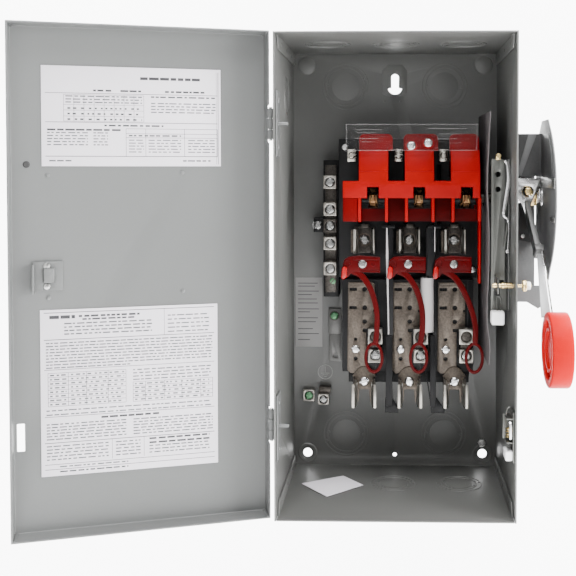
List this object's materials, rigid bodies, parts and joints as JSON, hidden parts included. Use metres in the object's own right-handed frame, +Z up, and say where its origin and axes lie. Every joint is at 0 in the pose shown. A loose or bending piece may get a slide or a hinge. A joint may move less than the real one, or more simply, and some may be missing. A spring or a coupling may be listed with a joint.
{
  "type": "fusible safety disconnect switch",
  "caption": "Wall-mounted steel disconnect box with hinged door, fusible knife switch under a red arc shield, and a side handle.",
  "frame": {"origin": "centre of the box's back face, on the wall", "axes": "+Y into the wall, -Y towards the person opening the door, +Z up, +X towards the operating handle"},
  "size_m": [0.4573, 0.201, 0.4214],
  "materials": {
    "enclosure_paint": "satin grey baked enamel",
    "handle_paint": "satin grey paint",
    "paper": "matt printed paper",
    "plated_steel": "zinc plated",
    "black_moulding": "moulded thermoset",
    "red_moulding": "semi-gloss moulding",
    "clear_sheet": "clear polycarbonate",
    "copper": "bare copper",
    "brass": "bright brass",
    "fibre_sheet": "grey fibre insulating sheet",
    "white_moulding": "white nylon",
    "tinned_metal": "tin plated, mottled"
  },
  "bodies": {
    "cabinet": {"arc_shield": "red_moulding", "bottom_end_wall": "enclosure_paint", "curved_sheet": "fibre_sheet", "enclosure_body": "enclosure_paint", "fuse_clip_lower_a": "tinned_metal", "fuse_clip_lower_b": "tinned_metal", "fuse_clip_lower_c": "tinned_metal", "fuse_clip_upper_a": "tinned_metal", "fuse_clip_upper_b": "tinned_metal", "fuse_clip_upper_c": "tinned_metal", "ground_lug": "tinned_metal", "ground_strap": "plated_steel", "ground_terminal": "tinned_metal", "handle_guard": "handle_paint", "handle_housing": "handle_paint", "hinge_leaf_lower": "plated_steel", "hinge_leaf_upper": "plated_steel", "hinge_pin_lower": "plated_steel", "hinge_pin_upper": "plated_steel", "instruction_leaflet": "paper", "latch_bracket": "plated_steel", "line_lug_a": "tinned_metal", "line_lug_b": "tinned_metal", "line_lug_c": "tinned_metal", "line_shield": "clear_sheet", "load_base": "black_moulding", "load_lug_a": "tinned_metal", "load_lug_b": "tinned_metal", "load_lug_c": "tinned_metal", "load_plate_a": "tinned_metal", "load_plate_b": "tinned_metal", "load_plate_c": "tinned_metal", "mechanism_bracket": "plated_steel", "neutral_bar": "tinned_metal", "neutral_base": "black_moulding", "phase_barrier_left": "black_moulding", "phase_barrier_right": "black_moulding", "side_sheet": "fibre_sheet", "switch_base": "black_moulding", "top_end_wall": "enclosure_paint"},
    "door": {"door_panel": "enclosure_paint", "upper_label": "paper", "lower_label": "paper", "door_catch_bracket": "enclosure_paint"},
    "handle": {"handle_shaft": "plated_steel", "pivot_nut": "brass", "handle_arm": "plated_steel", "handle_grip": "red_moulding"},
    "rotor": {"rotor_shaft": "black_moulding", "contact_blade_a": "copper", "contact_blade_b": "copper", "contact_blade_c": "copper"},
    "fuse_puller_a": {"fuse_puller_a": "red_moulding"},
    "fuse_puller_b": {"fuse_puller_b": "red_moulding"},
    "fuse_puller_c": {"fuse_puller_c": "red_moulding"},
    "interlock_lever": {"interlock_lever": "plated_steel"},
    "interlock_bolt": {"interlock_bolt": "brass", "bolt_spring": "brass"},
    "interlock_slider": {"interlock_slider": "white_moulding"},
    "latch_tongue": {"latch_tongue": "plated_steel"}
  },
  "joints": [
    {"name": "door_hinge", "type": "hinge", "parent": "cabinet", "child": "door", "pos_m": [-0.107, -0.134, 0], "axis": [0, 0, 1], "range_deg": [-12, 163]},
    {"name": "handle_throw", "type": "hinge", "parent": "cabinet", "child": "handle", "pos_m": [0, -0.058, 0.065], "axis": [-1, 0, 0], "range_deg": [0, 93]},
    {"name": "rotor_turn", "type": "hinge", "parent": "cabinet", "child": "rotor", "pos_m": [0, -0.058, 0.065], "axis": [-1, 0, 0], "range_deg": [0, 60.1]},
    {"name": "fuse_puller_a_swing", "type": "hinge", "parent": "cabinet", "child": "fuse_puller_a", "pos_m": [0, -0.0767, 0.007], "axis": [-1, 0, 0], "range_deg": [0, 40]},
    {"name": "fuse_puller_b_swing", "type": "hinge", "parent": "cabinet", "child": "fuse_puller_b", "pos_m": [0, -0.0767, 0.007], "axis": [-1, 0, 0], "range_deg": [0, 40]},
    {"name": "fuse_puller_c_swing", "type": "hinge", "parent": "cabinet", "child": "fuse_puller_c", "pos_m": [0, -0.0767, 0.007], "axis": [-1, 0, 0], "range_deg": [0, 40]},
    {"name": "interlock_lever_rock", "type": "hinge", "parent": "cabinet", "child": "interlock_lever", "pos_m": [0.0955, -0.114, 0.099], "axis": [0, 1, 0], "range_deg": [0, 6], "stiffness_Nm_per_rad": 0.02},
    {"name": "interlock_bolt_slide", "type": "slide", "parent": "cabinet", "child": "interlock_bolt", "axis": [1, 0, 0], "range_m": [0, 0.002], "stiffness_N_per_m": 200},
    {"name": "interlock_slider_slide", "type": "slide", "parent": "cabinet", "child": "interlock_slider", "axis": [0, 0, 1], "range_m": [0, 0.004], "stiffness_N_per_m": 60},
    {"name": "latch_tongue_slide", "type": "slide", "parent": "cabinet", "child": "latch_tongue", "axis": [0, -1, 0], "range_m": [0, 0.01]}
  ],
  "couplings": [
    {"joint": "rotor_turn", "follows": "handle_throw", "ratio": 0.645}
  ]
}
